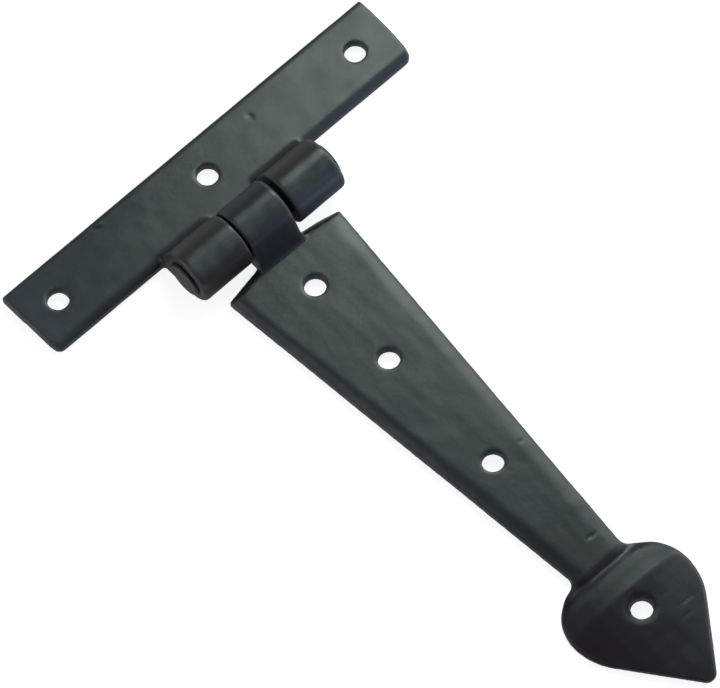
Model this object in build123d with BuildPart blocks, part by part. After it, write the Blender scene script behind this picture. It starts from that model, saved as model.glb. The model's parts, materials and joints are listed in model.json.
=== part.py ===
from build123d import *
from math import acos, atan2, copysign, degrees, hypot, radians, sin
import os

# A hand-forged T-hinge for a gate, lying flat on its back faces.
# The origin is the middle screw hole of the frame plate, at the back face.
# X runs along the strap to its tip, Y along the hinge pin, Z out of the front face.

os.makedirs("parts", exist_ok=True)

# The bar that both leaves are forged from, and the screws they take
metal = 3.0
screw_hole_diameter = 5.0

# The hinge pin and the eyes rolled round it
pin_diameter = 8.0
pin_clearance = 0.08
pin_head_diameter = 9.2
pin_head_height = 0.7
pin_head_bevel = 0.3
lap_run = 2.5
lap_seam = 0.25
eye_end_rounding = 1.0
eye_edge_bevel = 0.3

# The three knuckles in a row, from the left end, and the play between them
left_knuckle_length = 14.6
left_play = 0.4
strap_knuckle_length = 12.8
right_play = 1.1
right_knuckle_length = 14.2
barrel_offset = -0.6

# The frame plate, cut from bar with one end a little out of square and the other a little round
plate_left_length = 55.0
plate_right_length = 55.4
left_end_skew = 0.7
right_end_skew = 0.6
right_end_bulge = 0.4
hole_to_outer_edge = 9.3
hole_to_knuckle_edge = 9.9
plate_hole_spacing = 45.7
plate_corner_radius = 2.4
plate_eye_gap = 0.8
knuckle_edge_roll = 3.0
knuckle_edge_drop = 1.2
outer_edge_roll = 1.4
outer_edge_drop = 0.4

# The tapered strap, with the places along its blade measured from the pin, and with shoulders
# that are swept back from the play that their roots have in front of the outer knuckles
neck_distance = 114.2
neck_half_width = 7.25
neck_offset = 0.6
shoulder_gap = 2.2
shoulder_root_play = 0.2
right_shoulder_bulge = 0.45
shoulder_half_width = 17.1
left_corner_radius = 0.6
right_corner_radius = 1.4
left_bevel_width = 1.8
right_bevel_width = 1.0
shoulder_bevel_drop = 0.9
neck_fillet = 2.6
strap_hole_distances = (19.8, 44.8, 79.7)
shoulder_edge_roll = 3.2
neck_edge_roll = 4.0
strap_edge_drop = 0.9

# The spade head, with places measured from the neck: two round lobes that draw in to a blunt
# point, the right lobe a little the narrower and nearer the point, which leans towards it
head_length = 37.9
head_hole_offset = 14.7
left_lobe_offset = 10.9
left_lobe_half_width = 17.3
right_lobe_offset = 12.3
right_lobe_half_width = 16.5
lobe_root_overlap = 1.0
lobe_shoulder_radius = 16.0
head_half_angle = 36.5
head_tip_radius = 2.4
head_tip_drift = 0.3

# The hammered face of the head: a step and a ridge across its neck, then a long fall to the point
head_step_offset = 1.4
head_step_depth = 0.5
ridge_offset = 5.6
ridge_height = 3.7
ridge_crown_radius = 50.0
head_fall_angle = 3.9
head_tip_thickness = 1.5
head_crown_radius = 70.0
head_edge_bevel = 0.4

# Sizes that follow from the ones above
bore_radius = pin_diameter / 2 + pin_clearance
eye_radius = bore_radius + metal
screw_hole_radius = screw_hole_diameter / 2
pin_x = hole_to_knuckle_edge + plate_eye_gap + eye_radius
shoulder_distance = eye_radius + shoulder_gap
root_distance = eye_radius + shoulder_root_play
head_step_distance = neck_distance + head_step_offset
ridge_distance = neck_distance + ridge_offset
head_hole_distance = neck_distance + head_hole_offset
strap_length = neck_distance + head_length
lap_reach = eye_radius + lap_run
barrel_length = (
    left_knuckle_length + left_play + strap_knuckle_length + right_play + right_knuckle_length
)
barrel_start = barrel_offset - barrel_length / 2
barrel_end = barrel_start + barrel_length
strap_knuckle_start = barrel_start + left_knuckle_length + left_play
strap_centre_y = strap_knuckle_start + strap_knuckle_length / 2
left_knuckle_end = barrel_start + left_knuckle_length
right_knuckle_start = barrel_end - right_knuckle_length
edge_tolerance = 0.01


def eye_section(leaf_length):
    """The end of a bar rolled forward round the pin, which is above the origin, with its lap
    closed down on the front of the leaf. The leaf runs off along -X."""
    lap_tip = (-lap_reach, metal)
    tip_angle = 360 + degrees(atan2(metal - eye_radius, -lap_reach))
    tip_distance = hypot(lap_reach, eye_radius - metal)
    lap_angle = tip_angle - degrees(acos(eye_radius / tip_distance))
    with BuildSketch() as section:
        with BuildLine():
            back = Line((-leaf_length, 0), (0, 0))
            roll = CenterArc((0, eye_radius), eye_radius, -90, lap_angle + 90)
            lap = Line(roll @ 1, lap_tip)
            front = Line(lap @ 1, (-leaf_length, metal))
            Line(front @ 1, back @ 0)
        make_face()
        with Locations((0, eye_radius)):
            Circle(bore_radius, mode=Mode.SUBTRACT)
        with Locations((0, metal)):
            Rectangle(
                lap_reach + lap_seam, lap_seam,
                align=(Align.MAX, Align.MIN), mode=Mode.SUBTRACT,
            )
    return section.sketch


def is_eye_rim(edge):
    """Whether an edge is the outer rim at one end of a knuckle."""
    return edge.geom_type == GeomType.CIRCLE and abs(edge.radius - eye_radius) < edge_tolerance


# Frame plate: the cross plate with its two outer knuckles
frame_leaf_length = pin_x - hole_to_knuckle_edge + metal
plate_hole_places = [(0, -plate_hole_spacing), (0, 0), (0, plate_hole_spacing)]

with BuildPart() as frame_plate:
    # the bar's section, with both long front edges hammered over
    with BuildSketch(Plane.XZ):
        with BuildLine():
            face = Line(
                (outer_edge_roll - hole_to_outer_edge, metal),
                (hole_to_knuckle_edge - knuckle_edge_roll, metal),
            )
            knuckle_roll = TangentArc(
                face @ 1, (hole_to_knuckle_edge, metal - knuckle_edge_drop), tangent=(1, 0)
            )
            knuckle_side = Line(knuckle_roll @ 1, (hole_to_knuckle_edge, 0))
            back = Line(knuckle_side @ 1, (-hole_to_outer_edge, 0))
            outer_side = Line(back @ 1, (-hole_to_outer_edge, metal - outer_edge_drop))
            TangentArc(face @ 0, outer_side @ 1, tangent=(-1, 0))
        make_face()
    extrude(amount=plate_left_length + plate_right_length, both=True)

    # the two ends it was cut to
    with BuildSketch() as plate_outline:
        with BuildLine():
            outer_edge = Line(
                (-hole_to_outer_edge, -plate_left_length), (-hole_to_outer_edge, plate_right_length)
            )
            right_end = SagittaArc(
                outer_edge @ 1,
                (hole_to_knuckle_edge, plate_right_length - right_end_skew),
                right_end_bulge,
            )
            knuckle_edge = Line(right_end @ 1, (hole_to_knuckle_edge, left_end_skew - plate_left_length))
            Line(knuckle_edge @ 1, outer_edge @ 0)
        make_face()
        fillet(plate_outline.vertices().group_by(Axis.X)[-1], plate_corner_radius)
    extrude(amount=metal, mode=Mode.INTERSECT)

    left_plane = Plane(origin=(pin_x, left_knuckle_end, 0), x_dir=(1, 0, 0), z_dir=(0, -1, 0))
    with BuildSketch(left_plane):
        add(eye_section(frame_leaf_length))
    extrude(amount=left_knuckle_length)
    right_plane = Plane(origin=(pin_x, barrel_end, 0), x_dir=(1, 0, 0), z_dir=(0, -1, 0))
    with BuildSketch(right_plane):
        add(eye_section(frame_leaf_length))
    extrude(amount=right_knuckle_length)

    # the dressed rims of the eyes, rounded at the two ends of the barrel
    eye_rims = frame_plate.edges().filter_by(is_eye_rim).sort_by(Axis.Y)
    chamfer(eye_rims[1:-1], eye_edge_bevel)
    eye_rims = frame_plate.edges().filter_by(is_eye_rim).sort_by(Axis.Y)
    fillet([eye_rims[0], eye_rims[-1]], eye_end_rounding)

    with BuildSketch() as plate_holes:
        with Locations(plate_hole_places):
            Circle(screw_hole_radius)
    extrude(amount=metal, mode=Mode.SUBTRACT)

frame_plate.part.label = "frame_plate"
export_step(frame_plate.part, "parts/frame_plate.step")


# Strap: the tapered leaf with the middle knuckle at its wide end and the spade head at its tip
strap_plane = Plane(origin=(pin_x, strap_centre_y, 0))
strap_side_plane = Plane(origin=(pin_x, strap_centre_y, 0), x_dir=(1, 0, 0), z_dir=(0, -1, 0))
crown_axis = Axis((pin_x, strap_centre_y, -head_crown_radius), (1, 0, 0))
blade_slope = (shoulder_half_width - neck_half_width) / (neck_distance - shoulder_distance)
blade_drift = neck_offset / (neck_distance - shoulder_distance)
left_root = (root_distance, -strap_knuckle_length / 2)
left_corner = (shoulder_distance, -shoulder_half_width)
right_root = (root_distance, strap_knuckle_length / 2)
right_corner = (shoulder_distance, shoulder_half_width)
point_x = strap_length + head_tip_radius / sin(radians(head_half_angle)) - head_tip_radius
face_margin = metal


def blade_half_width(distance):
    """Half of the blade's width at a distance from the pin."""
    return shoulder_half_width - blade_slope * (distance - shoulder_distance)


def blade_centre(distance):
    """How far the middle of the blade has drifted from the strap's centre line."""
    return blade_drift * (distance - shoulder_distance)


def blade_section(distance, edge_roll):
    """The blade's section across the strap, with its long front edges hammered over, and a margin
    outside those edges which the outline trims."""
    half_width = blade_half_width(distance)
    section_plane = Plane(
        origin=(pin_x + distance, strap_centre_y + blade_centre(distance), 0),
        x_dir=(0, 1, 0), z_dir=(1, 0, 0),
    )
    with BuildSketch(section_plane) as section:
        with BuildLine():
            face = Line((0, metal), (half_width - edge_roll, metal))
            roll = TangentArc(face @ 1, (half_width, metal - strap_edge_drop), tangent=(1, 0))
            margin = Line(roll @ 1, (left_lobe_half_width + face_margin, metal - strap_edge_drop))
            side = Line(margin @ 1, (left_lobe_half_width + face_margin, -face_margin))
            underside = Line(side @ 1, (0, -face_margin))
            Line(underside @ 1, face @ 0)
        make_face()
        mirror(about=Plane.YZ)
    return section.sketch


def shoulder_bevel_plane(root, corner, bevel_width):
    """The plane that dresses the front edge of a shoulder, from its root to its corner."""
    along = (Vector(*corner) - Vector(*root)).normalized()
    inward = Vector(abs(along.Y), -copysign(along.X, along.Y))
    rise = inward * bevel_width + Vector(0, 0, shoulder_bevel_drop)
    upward = along.cross(rise) * copysign(1, -along.Y)
    origin = Vector(pin_x + root[0], strap_centre_y + root[1], metal - shoulder_bevel_drop)
    return Plane(origin=origin, x_dir=along, z_dir=upward)


# The hammered front of the strap, as a body that its outline is trimmed with
with BuildPart() as strap_face:
    # the head's face, turned about a far axis so that it is crowned
    with BuildSketch(strap_side_plane):
        with BuildLine():
            ridge_top = (ridge_distance, ridge_height)
            step_foot = (head_step_distance, metal - head_step_depth)
            step = TangentArc(ridge_top, step_foot, tangent=(-1, 0))
            ridge_crown = JernArc(ridge_top, (1, 0), ridge_crown_radius, -head_fall_angle)
            fall = Line(ridge_crown @ 1, (point_x, head_tip_thickness))
            tip_side = Line(fall @ 1, (point_x, -face_margin))
            underside = Line(tip_side @ 1, (head_step_distance, -face_margin))
            Line(underside @ 1, step @ 1)
        make_face()
    revolve(axis=crown_axis)
    # the blade's face, which rolls off to both sides
    add(blade_section(root_distance - face_margin, shoulder_edge_roll))
    add(blade_section(head_step_distance, neck_edge_roll))
    loft(ruled=True)

with BuildPart() as strap:
    with BuildSketch(strap_plane) as strap_outline:
        # the two halves of the head
        left_lobe_top = (neck_distance + left_lobe_offset, -left_lobe_half_width)
        right_lobe_top = (neck_distance + right_lobe_offset, right_lobe_half_width)
        for side, lobe_top in ((-1, left_lobe_top), (1, right_lobe_top)):
            with BuildLine():
                neck = Line(
                    (neck_distance, 0), (neck_distance, side * (neck_half_width - lobe_root_overlap))
                )
                TangentArc(lobe_top, neck @ 1, tangent=(-1, 0))
                shoulder = JernArc(lobe_top, (1, 0), lobe_shoulder_radius, -side * head_half_angle)
                flank = Line(shoulder @ 1, (point_x, head_tip_drift))
                Line(flank @ 1, neck @ 0)
            make_face()
        fillet(strap_outline.vertices().sort_by(Axis.X)[-1], head_tip_radius)

        # the blade, with its shoulders swept back from the knuckle
        with BuildLine():
            root = Line(left_root, right_root)
            right_shoulder = SagittaArc(right_root, right_corner, right_shoulder_bulge)
            blade_end_half_width = blade_half_width(head_step_distance)
            blade_end_centre = blade_centre(head_step_distance)
            right_side = Line(
                right_shoulder @ 1, (head_step_distance, blade_end_centre + blade_end_half_width)
            )
            blade_end = Line(
                right_side @ 1, (head_step_distance, blade_end_centre - blade_end_half_width)
            )
            left_side = Line(blade_end @ 1, left_corner)
            Line(left_side @ 1, root @ 0)
        make_face()
        shoulder_corners = strap_outline.vertices().filter_by_position(
            Axis.X, shoulder_distance - edge_tolerance, shoulder_distance + edge_tolerance
        ).sort_by(Axis.Y)
        fillet(shoulder_corners[0], left_corner_radius)
        fillet(shoulder_corners[-1], right_corner_radius)
        neck_corners = strap_outline.vertices().filter_by_position(
            Axis.X, neck_distance - neck_fillet, neck_distance + neck_fillet
        )
        fillet(neck_corners, neck_fillet)
    extrude(amount=ridge_height + face_margin)
    add(strap_face.part, mode=Mode.INTERSECT)

    # the dressed front edges of the shoulders, and of the head
    left_bevel_plane = shoulder_bevel_plane(left_root, left_corner, left_bevel_width)
    split(bisect_by=left_bevel_plane, keep=Keep.BOTTOM)
    right_bevel_plane = shoulder_bevel_plane(right_root, right_corner, right_bevel_width)
    split(bisect_by=right_bevel_plane, keep=Keep.BOTTOM)
    head_rim = strap.edges().filter_by(GeomType.BSPLINE).filter_by(
        lambda edge: edge.center().X > pin_x + head_step_distance + edge_tolerance
        and edge.center().Z > head_tip_thickness - edge_tolerance
    )
    chamfer(head_rim, head_edge_bevel)

    # the middle knuckle on its neck, rolled the same way as the other two
    eye_plane = Plane(origin=(pin_x, strap_knuckle_start, 0), x_dir=(-1, 0, 0), z_dir=(0, 1, 0))
    with BuildSketch(eye_plane):
        add(eye_section(shoulder_distance + metal))
    extrude(amount=strap_knuckle_length)
    root_edges = strap.edges().filter_by(Axis.Z).filter_by(
        lambda edge: edge.center().X < pin_x + shoulder_distance
        and abs(edge.center().Y - strap_centre_y) < strap_knuckle_length / 2 + edge_tolerance
    ).sort_by(Axis.Y)
    fillet(root_edges[0], left_play)
    fillet(root_edges[-1], right_play)
    chamfer(strap.edges().filter_by(is_eye_rim), eye_edge_bevel)

    with BuildSketch(strap_plane) as strap_holes:
        with Locations([(distance, 0) for distance in (*strap_hole_distances, head_hole_distance)]):
            Circle(screw_hole_radius)
    extrude(amount=ridge_height, mode=Mode.SUBTRACT)

strap.part.label = "strap"
export_step(strap.part, "parts/strap.step")


# Hinge pin: a plain rod whose two ends are hammered over against the outer knuckles
with BuildPart() as hinge_pin:
    with BuildSketch(Plane.XZ.offset(-barrel_start)):
        with Locations((pin_x, eye_radius)):
            Circle(pin_diameter / 2)
    extrude(amount=-barrel_length)
    for head_plane, outward in ((Plane.XZ.offset(-barrel_start), 1), (Plane.XZ.offset(-barrel_end), -1)):
        with BuildSketch(head_plane):
            with Locations((pin_x, eye_radius)):
                Circle(pin_head_diameter / 2)
        extrude(amount=outward * pin_head_height)
    outer_rims = hinge_pin.edges().filter_by(GeomType.CIRCLE).sort_by(Axis.Y)
    chamfer([outer_rims[0], outer_rims[-1]], pin_head_bevel)

hinge_pin.part.label = "hinge_pin"
export_step(hinge_pin.part, "parts/hinge_pin.step")
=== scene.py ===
import bmesh
import bpy
import json
import math
from mathutils import Matrix, Vector, kdtree, noise


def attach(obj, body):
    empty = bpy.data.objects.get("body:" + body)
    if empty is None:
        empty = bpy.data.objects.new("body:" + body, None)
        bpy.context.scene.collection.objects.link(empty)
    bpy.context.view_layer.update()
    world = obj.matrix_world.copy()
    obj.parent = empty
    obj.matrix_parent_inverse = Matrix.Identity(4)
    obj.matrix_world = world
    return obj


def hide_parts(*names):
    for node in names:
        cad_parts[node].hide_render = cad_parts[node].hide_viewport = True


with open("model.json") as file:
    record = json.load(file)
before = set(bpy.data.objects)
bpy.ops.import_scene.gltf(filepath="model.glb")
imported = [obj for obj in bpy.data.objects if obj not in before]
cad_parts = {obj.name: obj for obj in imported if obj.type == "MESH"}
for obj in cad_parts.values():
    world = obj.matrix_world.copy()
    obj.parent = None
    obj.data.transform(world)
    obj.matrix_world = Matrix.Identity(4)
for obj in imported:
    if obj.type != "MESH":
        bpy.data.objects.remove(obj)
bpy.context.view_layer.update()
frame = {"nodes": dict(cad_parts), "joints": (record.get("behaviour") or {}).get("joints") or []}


# The camera
# It looks down on the hinge as it lies on a table, from far away, and leans towards the
# picture's lower edge.
view_distance = 2.0425
view_tilt = math.radians(24.4)
view_lean = math.radians(-37.2)
view_spin = math.radians(46.7)
aim = Vector((0.0552, -0.0029, 0.002))
focal_pixels = 8997
picture_width = 720

back = Vector((
    math.sin(view_tilt) * math.cos(view_lean),
    math.sin(view_tilt) * math.sin(view_lean),
    math.cos(view_tilt),
))
level_right = Vector((math.cos(view_spin), math.sin(view_spin), 0))
right = (level_right - back * level_right.dot(back)).normalized()
up = back.cross(right)

camera_data = bpy.data.cameras.new("camera")
camera_data.sensor_width = 36
camera_data.lens = focal_pixels / picture_width * camera_data.sensor_width
camera_data.clip_start = 0.01
camera_data.clip_end = 20
camera = bpy.data.objects.new("camera", camera_data)
camera.matrix_world = Matrix((
    (right.x, up.x, back.x, aim.x + back.x * view_distance),
    (right.y, up.y, back.y, aim.y + back.y * view_distance),
    (right.z, up.z, back.z, aim.z + back.z * view_distance),
    (0, 0, 0, 1),
))
bpy.context.scene.collection.objects.link(camera)
bpy.context.scene.camera = camera
bpy.context.scene.view_settings.view_transform = "Standard"


# The studio
# A white table in a room that is brighter on one side, with soft lamps above it. The table
# glows for the camera and in reflections alone, so that it looks white and still takes a shadow.
table_half_size = 3.0
table_drop = 0.0002
table_colour = (0.45, 0.45, 0.45, 1)
table_glow = 0.86
bright_side = Vector((-0.10, 0.92, 0.38)).normalized()
dim_below = 0.1
bright_above = 0.9
room_bright = (0.38, 0.41, 0.405, 1)
room_dim = (0.13, 0.125, 0.16, 1)

table_mesh = bpy.data.meshes.new("table")
table_form = bmesh.new()
bmesh.ops.create_grid(table_form, x_segments=1, y_segments=1, size=table_half_size)
bmesh.ops.translate(table_form, vec=(aim.x, aim.y, -table_drop), verts=table_form.verts)
table_form.to_mesh(table_mesh)
table_form.free()
table = bpy.data.objects.new("table", table_mesh)
bpy.context.scene.collection.objects.link(table)


def feed(tree, socket, value):
    """Gives a socket a plain value, or links it to the output of another node."""
    if isinstance(value, bpy.types.NodeSocket):
        tree.links.new(value, socket)
    else:
        socket.default_value = value


def calculated(tree, operation, *values):
    """What a math node makes of plain values or the outputs of other nodes."""
    node = tree.nodes.new("ShaderNodeMath")
    node.operation = operation
    for socket, value in zip(node.inputs, values):
        feed(tree, socket, value)
    return node.outputs["Value"]


def spread(tree, value, low, high, curve):
    """How far a value is on its way from low to high, kept between 0 and 1."""
    node = tree.nodes.new("ShaderNodeMapRange")
    node.interpolation_type = curve
    feed(tree, node.inputs["Value"], value)
    feed(tree, node.inputs["From Min"], low)
    feed(tree, node.inputs["From Max"], high)
    return node.outputs["Result"]


def mixed(tree, share, first, second):
    """The first colour where the share is 0, the second where it is 1, and blends between."""
    node = tree.nodes.new("ShaderNodeMix")
    node.data_type = "RGBA"
    feed(tree, node.inputs["Factor"], share)
    feed(tree, node.inputs["A"], first)
    feed(tree, node.inputs["B"], second)
    return node.outputs["Result"]


table_paint = bpy.data.materials.new("white table")
table_paint.use_nodes = True
tree = table_paint.node_tree
tree.nodes.clear()
rays = tree.nodes.new("ShaderNodeLightPath")
seen = calculated(tree, "MAXIMUM", rays.outputs["Is Camera Ray"], rays.outputs["Is Glossy Ray"])
seen = calculated(tree, "MAXIMUM", seen, rays.outputs["Is Transmission Ray"])
glow = tree.nodes.new("ShaderNodeEmission")
feed(tree, glow.inputs["Strength"], calculated(tree, "MULTIPLY", seen, table_glow))
matt = tree.nodes.new("ShaderNodeBsdfDiffuse")
feed(tree, matt.inputs["Color"], table_colour)
both = tree.nodes.new("ShaderNodeAddShader")
feed(tree, both.inputs[0], glow.outputs["Emission"])
feed(tree, both.inputs[1], matt.outputs["BSDF"])
out = tree.nodes.new("ShaderNodeOutputMaterial")
feed(tree, out.inputs["Surface"], both.outputs["Shader"])
table_mesh.materials.append(table_paint)

world = bpy.data.worlds.new("studio")
world.use_nodes = True
bpy.context.scene.world = world
tree = world.node_tree
toward = tree.nodes.new("ShaderNodeTexCoord")
sideways = tree.nodes.new("ShaderNodeVectorMath")
sideways.operation = "DOT_PRODUCT"
feed(tree, sideways.inputs[0], toward.outputs["Generated"])
feed(tree, sideways.inputs[1], bright_side)
nearness = spread(tree, sideways.outputs["Value"], dim_below, bright_above, "SMOOTHSTEP")
feed(tree, tree.nodes["Background"].inputs["Color"], mixed(tree, nearness, room_dim, room_bright))


def soft_lamp(name, place, aimed_at, size, brightness, colour):
    """A rectangular soft box at a place, turned to face a point. A brightness of 1 looks white."""
    lamp_data = bpy.data.lights.new(name, "AREA")
    lamp_data.shape = "RECTANGLE"
    lamp_data.size = size[0]
    lamp_data.size_y = size[1]
    lamp_data.energy = brightness * math.pi * size[0] * size[1]
    lamp_data.color = colour
    lamp = bpy.data.objects.new(name, lamp_data)
    lamp.location = place
    direction = Vector(aimed_at) - Vector(place)
    lamp.rotation_euler = direction.to_track_quat("-Z", "Y").to_euler()
    lamp.visible_camera = False
    bpy.context.scene.collection.objects.link(lamp)


# the big box behind the picture's upper edge, which the flat faces mirror
soft_lamp(
    "overhead",
    place=(-0.0875, 0.2735, 0.30),
    aimed_at=(-0.0875, 0.2735, 0),
    size=(0.165, 0.353),
    brightness=5.5,
    colour=(0.82, 1.0, 0.93),
)
# a low panel beyond the right knuckle, which the right-hand edges mirror
soft_lamp(
    "side panel",
    place=(0.05, 0.80, 0.36),
    aimed_at=(0.04, 0, 0),
    size=(1.0, 0.36),
    brightness=2.0,
    colour=(0.95, 1.0, 1.0),
)
# a small cool lamp, low beyond the strap, which the right knuckle and the plate's edge mirror
soft_lamp(
    "cool strip",
    place=(0.154, 0.075, 0.055),
    aimed_at=(0.018, 0.04, 0.005),
    size=(0.06, 0.03),
    brightness=1.2,
    colour=(0.50, 0.70, 1.0),
)
# a low panel that the strap's left-hand edge mirrors at its wide end
soft_lamp(
    "left fill",
    place=(-0.085, -0.28, 0.07),
    aimed_at=(0.03, -0.017, 0),
    size=(0.13, 0.10),
    brightness=2.8,
    colour=(1.0, 1.0, 1.0),
)
# a faint wide panel that the strap's left-hand edge mirrors along its whole length
soft_lamp(
    "left wall",
    place=(-0.08, -0.34, 0.47),
    aimed_at=(0.08, -0.015, 0),
    size=(0.45, 0.35),
    brightness=0.42,
    colour=(1.0, 0.98, 0.94),
)


# The frame plate
# The cross plate that is screwed to the post: one piece of hot-forged iron bar, whose two
# outer knuckles are rolled from the same metal. It is painted satin black all over.
swing = frame["joints"][0]
pin_axis_x = swing["pos_m"][0]
voxel = 0.00032
smoothing_passes = 6
bar = 0.003
# the knuckles: how far a lap reaches from the pin's axis, where two of them start and end
# along the pin, from what height up metal is theirs, and the crest with its painted highlight and wear
lap_reach = 0.00958
left_knuckle = (-0.02215, -0.00755)
right_knuckle = (0.00675, 0.02095)
eye_foot = 0.0045
crest_height = 0.0115
crest_offset = 0.0024
crest_width = 0.0025
plate_nick = (-0.0078, -0.0278)
plate_pit = (-0.0042, 0.0171)


def add_metal(form, low, high):
    """A block of solid metal between two corners, which the remeshing joins to the rest."""
    made = bmesh.ops.create_cube(form, size=1)["verts"]
    bmesh.ops.scale(form, vec=Vector(high) - Vector(low), verts=made)
    bmesh.ops.translate(form, vec=(Vector(low) + Vector(high)) / 2, verts=made)


def close_seam(form, side, knuckle, seam_open):
    """Solid metal in the lap of a rolled eye, all but an open stretch at its tip."""
    seam_start = 0.0012
    inset = 0.0003
    depth_below = 0.00025
    height_above = 0.00045
    near = pin_axis_x + side * seam_start
    far = pin_axis_x + side * (lap_reach - seam_open)
    low = (min(near, far), knuckle[0] + inset, bar - depth_below)
    high = (max(near, far), knuckle[1] - inset, bar + height_above)
    add_metal(form, low, high)


def smooth(form, verts, passes):
    """Draws the given points towards their neighbours, as filing and many coats of paint do."""
    for _ in range(passes):
        bmesh.ops.smooth_vert(
            form, verts=verts, factor=0.5, use_axis_x=True, use_axis_y=True, use_axis_z=True
        )


def mark_edges(form):
    """Keeps on each point how sharply the metal turns there, for the lighter paint on edges, partly
    wear and partly a painted highlight.
    """
    sharp_turn = 0.00003
    rubbed = form.verts.layers.float.new("rubbed")
    for vert in form.verts:
        middle = Vector()
        for edge in vert.link_edges:
            middle += edge.other_vert(vert).co
        middle /= len(vert.link_edges)
        vert[rubbed] = max(0, min(1, (vert.co - middle).dot(vert.normal) / sharp_turn))


def side_finder(form):
    """The upright sides of a piece, to find how near a place on its face is to them."""
    most_tilt = 0.3
    sides = [vert.co for vert in form.verts if abs(vert.normal.z) < most_tilt and vert.co.z < bar]
    finder = kdtree.KDTree(len(sides))
    for index, place in enumerate(sides):
        finder.insert((place.x, place.y, 0), index)
    finder.balance()
    return finder


def forged(name, node, fill, is_worked, hammer, pressed=None):
    """A dense copy of a node with the softened edges and low waves of forged, painted iron.
    fill closes its seams, hammer tells how far a point is sunk, pressed to what height it was
    then pressed, and is_worked which places were dressed more."""
    weld_distance = 1e-6
    form = bmesh.new()
    form.from_mesh(frame["nodes"][node].data)
    bmesh.ops.remove_doubles(form, verts=form.verts, dist=weld_distance)
    fill(form)
    mesh = bpy.data.meshes.new(name)
    form.to_mesh(mesh)
    form.free()
    mesh.materials.clear()
    piece = bpy.data.objects.new(name, mesh)
    bpy.context.scene.collection.objects.link(piece)

    remesh = piece.modifiers.new("dense", "REMESH")
    remesh.mode = "VOXEL"
    remesh.voxel_size = voxel
    graph = bpy.context.evaluated_depsgraph_get()
    dense = bpy.data.meshes.new_from_object(piece.evaluated_get(graph))
    piece.modifiers.clear()
    piece.data = dense
    dense.name = name

    form = bmesh.new()
    form.from_mesh(dense)
    smooth(form, form.verts, smoothing_passes)
    form.normal_update()
    for vert in form.verts:
        vert.co -= vert.normal * hammer(vert.co, vert.normal)
    if pressed:
        sides = side_finder(form)
        for vert in form.verts:
            from_side = sides.find((vert.co.x, vert.co.y, 0))[2]
            vert.co.z = pressed(vert.co, from_side)
    smooth(form, [vert for vert in form.verts if is_worked(vert.co)], 2 * smoothing_passes)
    form.normal_update()
    mark_edges(form)
    for face in form.faces:
        face.smooth = True
    form.to_mesh(dense)
    form.free()
    return piece


def wave(place, size, seed):
    """Smooth noise from 0 to 1 whose bumps are about the given size across."""
    return 0.5 + 0.5 * noise.noise(place / size + Vector((seed, seed * 1.7, seed * 2.3)))


def hammer_waves(place, broad_size, broad_seed, fine_seed):
    """How far the hammer sank a point: broad low waves, with finer ones over them."""
    broad_depth = 0.00011
    fine_depth = 0.00007
    fine_size = 0.005
    broad = broad_depth * wave(place, broad_size, broad_seed)
    return broad + fine_depth * wave(place, fine_size, fine_seed)


def dent(place, middle, length, width, turn, depth):
    """The depth of an oval dent in the front face, with its long way turned from X."""
    along = (place.x - middle[0]) * math.cos(turn) + (place.y - middle[1]) * math.sin(turn)
    across = (place.y - middle[1]) * math.cos(turn) - (place.x - middle[0]) * math.sin(turn)
    if place.z < bar / 2:
        return 0
    return depth * math.exp(-(along / length) ** 2 - (across / width) ** 2)


def fill_plate(form):
    """The closed laps of the two outer knuckles, and the full edge in front of the middle one."""
    below_face = 0.00002
    edge_low = (0.006, -0.0079, 0.001)
    edge_high = (0.0099, 0.0071, bar - below_face)
    close_seam(form, -1, left_knuckle, 0)
    close_seam(form, -1, right_knuckle, 0)
    add_metal(form, edge_low, edge_high)


def plate_hammer(place, normal):
    """The waves on the plate, a nick to the left of its middle hole and a pit to the right."""
    sunk = hammer_waves(place, broad_size=0.013, broad_seed=3, fine_seed=8)
    sunk += dent(place, plate_nick, length=0.0012, width=0.0005, turn=0.9, depth=0.00025)
    sunk += dent(place, plate_pit, length=0.0009, width=0.0006, turn=0.2, depth=0.00012)
    return sunk


def plate_is_worked(place):
    """The front of the plate's knuckle side, where it runs up into the outer knuckles."""
    worked_top = 0.0052
    worked_from = 0.0066
    worked_to = 0.0105
    return bar / 2 < place.z < worked_top and worked_from < place.x < worked_to


frame_plate = forged("frame_plate_forged", "frame_plate", fill_plate, plate_is_worked, plate_hammer)
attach(frame_plate, "frame")
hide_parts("frame_plate")


def mark(piece, name, share):
    """Keeps a share from 0 to 1 on each point of a piece, under a name that the paint reads.
    share works it out from the point's place and normal."""
    marks = piece.data.attributes.new(name, "FLOAT", "POINT")
    for vert in piece.data.vertices:
        marks.data[vert.index].value = max(0, min(1, share(vert.co, vert.normal)))


def between(value, start, end):
    """Climbs softly from 0 at the start to 1 at the end."""
    share = max(0, min(1, (value - start) / (end - start)))
    return share * share * (3 - 2 * share)


def eye_crest(place):
    """How near a place is to the crest of the knuckles, whose paint is made lighter there: a painted
    highlight, with some wear.
    """
    if place.z < crest_height:
        return 0
    return math.exp(-((place.x - pin_axis_x - crest_offset) / crest_width) ** 2)


def dull(place, normal):
    """The sheared sides, the sawn ends and the back flank of the knuckles, which are duller
    than the faces."""
    side_tilt = 0.55
    side_blend = 0.25
    flank_share = 0.7
    flank_start = 0.0015
    flank_end = 0.0040
    side = (side_tilt - abs(normal.z)) / side_blend
    if place.z > eye_foot:
        return max(side, flank_share * between(pin_axis_x - place.x, flank_start, flank_end))
    return side


def plate_burnt(place, normal):
    """The flanks of the two outer knuckles, painted darker as shade."""
    if place.z < eye_foot:
        return 0
    return 1 - eye_crest(place)


def plate_polished(place, normal):
    """The crests of the two outer knuckles, painted lighter: a painted highlight, with some wear."""
    return eye_crest(place)


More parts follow.
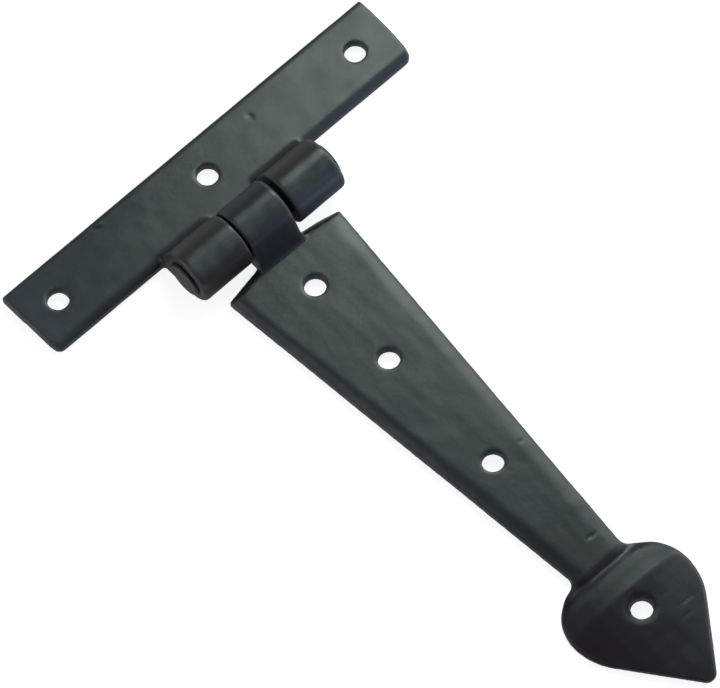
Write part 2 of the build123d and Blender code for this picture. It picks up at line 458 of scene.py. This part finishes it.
def plate_blued(place, normal):
    """A bluish tint on the lower flank of the right knuckle and on the edge beside it, and a
    trace of it at the plate's left end: a painted reflection."""
    flank_x = (pin_axis_x + 0.0028, pin_axis_x + 0.005)
    flank_y = (-0.002, 0.010)
    edge_x = (0.0068, 0.0092)
    edge_y = (0.0205, 0.0215)
    left_end_y = (0.040, 0.052)
    left_end_share = 0.4
    if place.z > eye_foot:
        return between(place.y, *flank_y) * between(place.x, *flank_x)
    at_edge = between(place.y, *edge_y) * between(place.x, *edge_x)
    return max(at_edge, left_end_share * between(-place.y, *left_end_y))


# darker marks are painted shade, lighter ones painted highlights with some wear, bluish ones a painted
# reflection
mark(frame_plate, "burnt", plate_burnt)
mark(frame_plate, "polished", plate_polished)
mark(frame_plate, "blued", plate_blued)
mark(frame_plate, "dull", dull)

# Black paint brushed over forged iron: a dark grey that is blacker where the paint pooled,
# greyer on edges, crests, a rim and a corner as painted highlights with some wear, darker on
# flanks and the head as painted shade, and bluish on lower flanks as a painted reflection
kept_shares = ("rubbed", "polished", "burnt", "blued", "dull")
pooled_below = 0.35
brushed_above = 0.65
sheen_spread = 0.18
dull_roughness = 0.4
grain_height = 0.25

paint_group = bpy.data.node_groups.new("paint over forged iron", "ShaderNodeTree")


def new_socket(name, direction, kind, value=None):
    """A named socket on the paint's group."""
    socket = paint_group.interface.new_socket(name, in_out=direction, socket_type=kind)
    if value is not None:
        socket.default_value = value


new_socket("Place", "INPUT", "NodeSocketVector")
for share_name in kept_shares:
    new_socket(share_name.capitalize(), "INPUT", "NodeSocketFloat", 0)
new_socket("Paint", "INPUT", "NodeSocketColor", (0.018, 0.023, 0.022, 1))
new_socket("Pooled Paint", "INPUT", "NodeSocketColor", (0.012, 0.014, 0.014, 1))
# below: a lighter paint for painted highlights and wear, a near-black one for painted shade, and a
# bluish one for a painted reflection
new_socket("Rubbed Paint", "INPUT", "NodeSocketColor", (0.085, 0.095, 0.091, 1))
new_socket("Burnt Paint", "INPUT", "NodeSocketColor", (0.007, 0.003, 0.0055, 1))
new_socket("Blue Scale", "INPUT", "NodeSocketColor", (0.036, 0.045, 0.070, 1))
new_socket("Patch Scale", "INPUT", "NodeSocketFloat", 60)
new_socket("Gloss Roughness", "INPUT", "NodeSocketFloat", 0.3)
new_socket("Color", "OUTPUT", "NodeSocketColor")
new_socket("Roughness", "OUTPUT", "NodeSocketFloat")
new_socket("Height", "OUTPUT", "NodeSocketFloat")
given = paint_group.nodes.new("NodeGroupInput").outputs
result = paint_group.nodes.new("NodeGroupOutput").inputs


def patches(scale, detail, roughness=0.5):
    """Soft noise over a piece, with more patches to the metre for a larger scale."""
    node = paint_group.nodes.new("ShaderNodeTexNoise")
    feed(paint_group, node.inputs["Vector"], given["Place"])
    feed(paint_group, node.inputs["Scale"], scale)
    feed(paint_group, node.inputs["Detail"], detail)
    feed(paint_group, node.inputs["Roughness"], roughness)
    return node.outputs["Fac"]


brush_marks = patches(given["Patch Scale"], detail=4, roughness=0.55)
brush_share = spread(paint_group, brush_marks, pooled_below, brushed_above, "LINEAR")
brushed = mixed(paint_group, brush_share, given["Pooled Paint"], given["Paint"])
# painted shade, then a painted bluish reflection over it
burnt_paint = mixed(paint_group, given["Burnt"], brushed, given["Burnt Paint"])
blued_paint = mixed(paint_group, given["Blued"], burnt_paint, given["Blue Scale"])
# painted highlights with some wear on edges, crests, a rim and a corner
touched = calculated(paint_group, "MAXIMUM", given["Rubbed"], given["Polished"])
worn_through = calculated(paint_group, "MULTIPLY", touched, patches(scale=350, detail=3))
feed(paint_group, result["Color"], mixed(paint_group, worn_through, blued_paint, given["Rubbed Paint"]))

sheen_patches = patches(scale=140, detail=3)
sheen = calculated(
    paint_group, "MULTIPLY_ADD", sheen_patches, sheen_spread, given["Gloss Roughness"]
)
roughness = calculated(paint_group, "MULTIPLY_ADD", given["Dull"], dull_roughness, sheen)
feed(paint_group, result["Roughness"], roughness)

grain = patches(scale=900, detail=2)
scale_marks = patches(scale=260, detail=3)
height = calculated(paint_group, "MULTIPLY_ADD", grain, grain_height, scale_marks)
feed(paint_group, result["Height"], height)


def black_paint(name, paint, pooled, burnt, patch_scale, roughness, bump_strength):
    """Satin black paint on one forged piece."""
    bump_distance = 0.0002
    material = bpy.data.materials.new(name)
    material.use_nodes = True
    tree = material.node_tree
    shader = tree.nodes["Principled BSDF"]
    place = tree.nodes.new("ShaderNodeTexCoord")
    group = tree.nodes.new("ShaderNodeGroup")
    group.node_tree = paint_group
    feed(tree, group.inputs["Place"], place.outputs["Object"])
    for share_name in kept_shares:
        kept = tree.nodes.new("ShaderNodeAttribute")
        kept.attribute_name = share_name
        feed(tree, group.inputs[share_name.capitalize()], kept.outputs["Fac"])
    feed(tree, group.inputs["Paint"], (*paint, 1))
    feed(tree, group.inputs["Pooled Paint"], (*pooled, 1))
    feed(tree, group.inputs["Burnt Paint"], (*burnt, 1))
    feed(tree, group.inputs["Patch Scale"], patch_scale)
    feed(tree, group.inputs["Gloss Roughness"], roughness)
    bump = tree.nodes.new("ShaderNodeBump")
    feed(tree, bump.inputs["Strength"], bump_strength)
    feed(tree, bump.inputs["Distance"], bump_distance)
    feed(tree, bump.inputs["Height"], group.outputs["Height"])
    feed(tree, shader.inputs["Base Color"], group.outputs["Color"])
    feed(tree, shader.inputs["Roughness"], group.outputs["Roughness"])
    feed(tree, shader.inputs["Normal"], bump.outputs["Normal"])
    return material


plate_paint = black_paint(
    "plate paint",
    paint=(0.020, 0.026, 0.024),
    pooled=(0.013, 0.016, 0.016),
    # painted shade on the flanks of the knuckles
    burnt=(0.017, 0.013, 0.012),
    patch_scale=75,
    roughness=0.24,
    bump_strength=0.25,
)
frame_plate.data.materials.append(plate_paint)


# The strap
# The tapered leaf that is screwed to the gate: one forging, from the rolled middle knuckle
# to the spade head that was hammered out at its tip, painted with the plate.
middle_knuckle = (-0.00715, 0.00565)
lap_open = 0.0006
lap_end_x = pin_axis_x + lap_reach
centre_line_y = swing["pos_m"][1]
shoulder_corner = (0.0310, 0.0150)
crease_x = 0.1335
crease_width = 0.0009
crease_depth = 0.00055
ridge_x = 0.1412
lobe_roll_share = 0.20
lobe_roll_width = 0.0013
lobe_roll_length = 0.016
head_hole_x = 0.14668
head_hole_radius = 0.0025
ring_radius = 0.0037
ring_width = 0.0007
ring_depth = 0.00012
neck_dent = (0.1261, 0.0029)
small_dent = (0.0982, 0.0073)
long_head_dent = (0.1518, 0.0084)
short_head_dent = (0.1545, 0.0058)
quarter_turn = 1.57


def fill_strap(form):
    """The closed lap of the middle knuckle, whose tip still shows as a line."""
    close_seam(form, 1, middle_knuckle, lap_open)


def drawing_marks(place):
    """Long faint marks where the taper was drawn out, and short ones across the head."""
    taper_depth = 0.00004
    taper_size = 0.012
    taper_stretch = 5
    head_depth = 0.00003
    head_size = 0.007
    head_stretch = 4
    if place.x < crease_x:
        return taper_depth * wave(Vector((place.x, taper_stretch * place.y, 0)), taper_size, seed=47)
    return head_depth * wave(Vector((head_stretch * place.x, place.y, 0)), head_size, seed=52)


def strap_hammer(place, normal):
    """The waves on the strap, and on its front the drawing marks, the dished ring round the
    head's hole and four dents."""
    sunk = hammer_waves(place, broad_size=0.012, broad_seed=21, fine_seed=34)
    if place.z < bar / 2:
        return sunk
    sunk += drawing_marks(place)
    from_hole = math.hypot(place.x - head_hole_x, place.y - centre_line_y)
    across = (from_hole - (head_hole_radius + ring_radius) / 2) / ring_width
    sunk += ring_depth * math.exp(-across * across) * max(normal.z, 0)
    sunk += dent(place, neck_dent, length=0.0011, width=0.0005, turn=quarter_turn, depth=0.00016)
    sunk += dent(place, small_dent, length=0.0007, width=0.0005, turn=quarter_turn, depth=0.00005)
    sunk += dent(place, long_head_dent, length=0.0022, width=0.0005, turn=quarter_turn, depth=0.00007)
    sunk += dent(place, short_head_dent, length=0.0018, width=0.0005, turn=quarter_turn, depth=0.00006)
    return sunk


def strap_pressed(place, from_side):
    """The height of a point after the crease at the neck, the flat that climbs from it to the
    ridge, and the back edges of both lobes were hammered down."""
    from_crease = place.x - crease_x
    climbed = max(0, min(1, from_crease / (ridge_x - crease_x)))
    if from_crease < 0:
        sunk = crease_depth * math.exp(-(from_crease / crease_width) ** 2)
    else:
        sunk = crease_depth * (1 - climbed ** 3)
    height = place.z - sunk * min(1, place.z / bar)
    if from_crease < 0:
        return height
    rolled = math.exp(-(from_side / lobe_roll_width) ** 2)
    rolled *= max(0, 1 - from_crease / lobe_roll_length) * min(1, from_crease / crease_width)
    return height * (1 - lobe_roll_share * rolled)


def strap_is_worked(place):
    """The crease at the neck, the ridge, and the right rim of the middle knuckle."""
    crease_reach = 0.0018
    ridge_reach = 0.0008
    rim_reach = 0.0009
    rim_foot = 0.004
    at_crease = place.z > bar / 2 and abs(place.x - crease_x) < crease_reach
    at_ridge = place.z > bar / 2 and abs(place.x - ridge_x) < ridge_reach
    at_rim = place.z > rim_foot and abs(place.y - middle_knuckle[1]) < rim_reach
    return at_crease or at_ridge or at_rim


strap = forged("strap_forged", "strap", fill_strap, strap_is_worked, strap_hammer, strap_pressed)
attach(strap, "leaf")
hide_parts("strap")


def scraped_flat(place):
    """The flat between the crease and the ridge, which is a little lighter than the head, a painted
    highlight, and duller."""
    near_crease_x = (0.1350, 0.1368)
    near_ridge_x = (0.1404, 0.1416)
    left_side_y = (-0.010, 0.002)
    along = between(place.x, *near_crease_x) * (1 - between(place.x, *near_ridge_x))
    return along * between(place.y, *left_side_y)


def strap_burnt(place, normal):
    """The flanks of the middle knuckle, and the crease and head, painted darker as shade."""
    flank_share = 0.8
    neck_share = 0.35
    neck_x = (0.108, 0.130)
    head_share = 0.65
    head_x = (0.1318, 0.1332)
    scraped_share = 0.35
    if place.x < lap_end_x:
        return 0 if place.z < eye_foot else flank_share * (1 - eye_crest(place))
    darker = neck_share * between(place.x, *neck_x) + head_share * between(place.x, *head_x)
    # the flat behind the crease is painted less dark, as a highlight
    return darker * (1 - scraped_share * scraped_flat(place))


def strap_polished(place, normal):
    """Painted highlights: the crest (with some wear) and right rim of the middle knuckle, the corner
    of the strap's shoulder, and the strap's left-hand edge at its wide end."""
    rim_inset = 0.0003
    rim_width = 0.0014
    rim_x = (pin_axis_x, pin_axis_x + 0.003)
    corner_share = 0.6
    corner_size = 0.006
    left_turn = (0.10, 0.35)
    left_edge_end_x = (0.080, 0.125)
    if place.z > eye_foot and place.x < lap_end_x:
        from_rim = (place.y - middle_knuckle[1] + rim_inset) / rim_width
        rim = math.exp(-from_rim * from_rim) * between(place.x, *rim_x)
        return max(eye_crest(place), rim)
    from_corner = math.hypot(place.x - shoulder_corner[0], place.y - shoulder_corner[1])
    corner = corner_share * math.exp(-(from_corner / corner_size) ** 2)
    left_edge = between(-normal.y, *left_turn) * (1 - between(place.x, *left_edge_end_x))
    return max(corner, left_edge)


def strap_blued(place, normal):
    """A painted bluish reflection on the lower flank of the middle knuckle."""
    blue_share = 0.4
    flank_x = (pin_axis_x + 0.0018, pin_axis_x + 0.004)
    if place.z < bar or place.x > lap_end_x:
        return 0
    return blue_share * between(place.x, *flank_x)


def strap_dull(place, normal):
    """The sides and flanks, and to a lesser degree the flat behind the crease."""
    scraped_share = 0.35
    return max(dull(place, normal), scraped_share * scraped_flat(place))


# darker marks are painted shade, lighter ones painted highlights with some wear, bluish ones a painted
# reflection
mark(strap, "burnt", strap_burnt)
mark(strap, "polished", strap_polished)
mark(strap, "blued", strap_blued)
mark(strap, "dull", strap_dull)
strap_paint = black_paint(
    "strap paint",
    paint=(0.018, 0.0225, 0.0205),
    pooled=(0.012, 0.0145, 0.014),
    # painted shade on the knuckle's flanks, the crease and the head
    burnt=(0.007, 0.003, 0.0055),
    patch_scale=65,
    roughness=0.25,
    bump_strength=0.25,
)
strap.data.materials.append(strap_paint)


# The hinge pin
# A plain steel rod through the three knuckles, with both ends hammered over. The paint ran
# over its ends, and is thin and brown where it shows in the gap between the knuckles.
pin = frame["nodes"]["hinge_pin"]
pin_gloss = 0.3
pin_paint = black_paint(
    "pin paint",
    paint=(0.012, 0.011, 0.011),
    pooled=(0.018, 0.012, 0.010),
    burnt=(0.010, 0.008, 0.008),
    patch_scale=200,
    roughness=0.55,
    bump_strength=0.4,
)
pin_paint.node_tree.nodes["Principled BSDF"].inputs["Specular IOR Level"].default_value = pin_gloss
pin.data.materials.clear()
pin.data.materials.append(pin_paint)
